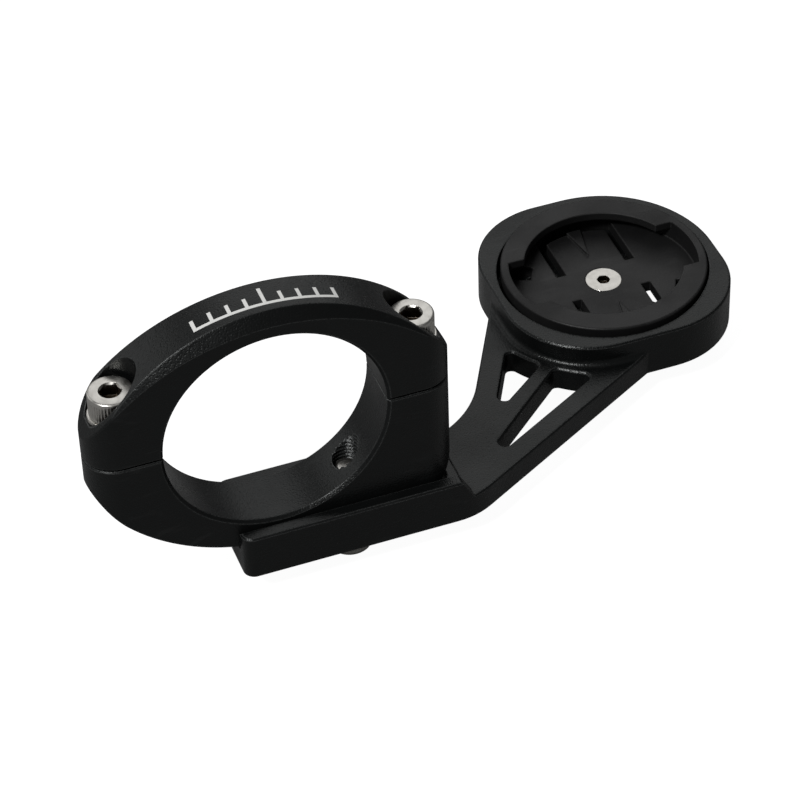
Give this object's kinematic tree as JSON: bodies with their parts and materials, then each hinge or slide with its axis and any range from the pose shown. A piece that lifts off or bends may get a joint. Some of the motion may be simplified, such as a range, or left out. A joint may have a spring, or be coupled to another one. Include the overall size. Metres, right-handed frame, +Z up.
{
  "type": "handlebar mount for a cycling computer",
  "caption": "Two-piece handlebar clamp with an offset front arm and a quarter-turn socket that carries a cycling computer.",
  "frame": {"origin": "centre of the handlebar bore at the middle of the clamp's width", "axes": "+X forward to the computer, +Y along the handlebar towards the side the arm steps to, +Z up"},
  "size_m": [0.1164, 0.0596, 0.053],
  "materials": {
    "anodised_alloy": "bead-blasted, black anodised, satin",
    "moulded_plastic": "fine spark texture, black",
    "screw_steel": "plain stainless, cold-formed"
  },
  "bodies": {
    "base": {"clamp_base": "anodised_alloy"},
    "cap": {"clamp_cap": "anodised_alloy", "clamp_washer_rear": "screw_steel", "clamp_washer_front": "screw_steel"},
    "rear_bolt": {"clamp_bolt_rear": "screw_steel"},
    "front_bolt": {"clamp_bolt_front": "screw_steel"},
    "arm": {"arm": "anodised_alloy"},
    "washer_under_arm": {"arm_washer": "screw_steel"},
    "bolt_under_arm": {"arm_bolt": "screw_steel"},
    "insert": {"quarter_turn_insert": "moulded_plastic"},
    "insert_fixing": {"insert_screw": "screw_steel"}
  },
  "joints": [
    {"name": "cap_lift", "type": "slide", "parent": "base", "child": "cap", "axis": [0, 0, 1], "range_m": [0, 0.0028]},
    {"name": "rear_bolt_turn", "type": "hinge", "parent": "cap", "child": "rear_bolt", "pos_m": [-0.0233, 0, 0.0075], "axis": [0, 0, 1], "range_deg": [0, 1440]},
    {"name": "front_bolt_turn", "type": "hinge", "parent": "cap", "child": "front_bolt", "pos_m": [0.0233, 0, 0.0075], "axis": [0, 0, 1], "range_deg": [0, 1440]},
    {"name": "arm_slide", "type": "slide", "parent": "base", "child": "arm", "axis": [1, 0, 0], "range_m": [-0.008, 0.006]},
    {"name": "arm_washer_drop", "type": "slide", "parent": "base", "child": "washer_under_arm", "axis": [0, 0, -1], "range_m": [0, 0.0007]},
    {"name": "arm_bolt_turn", "type": "hinge", "parent": "washer_under_arm", "child": "bolt_under_arm", "pos_m": [0.012, 0, -0.0272], "axis": [0, 0, -1], "range_deg": [0, 360]},
    {"name": "insert_turn", "type": "hinge", "parent": "arm", "child": "insert", "pos_m": [0.0686, 0.033, -0.0232], "axis": [0, 0, 1], "range_deg": [-90, 90]},
    {"name": "insert_screw_turn", "type": "hinge", "parent": "arm", "child": "insert_fixing", "pos_m": [0.0686, 0.033, -0.0212], "axis": [0, 0, 1], "range_deg": [0, 90]}
  ],
  "couplings": [
    {"joint": "rear_bolt_turn", "follows": "cap_lift", "rad_per_m": 8976},
    {"joint": "front_bolt_turn", "follows": "cap_lift", "rad_per_m": 8976},
    {"joint": "arm_bolt_turn", "follows": "arm_washer_drop", "rad_per_m": 8976}
  ]
}
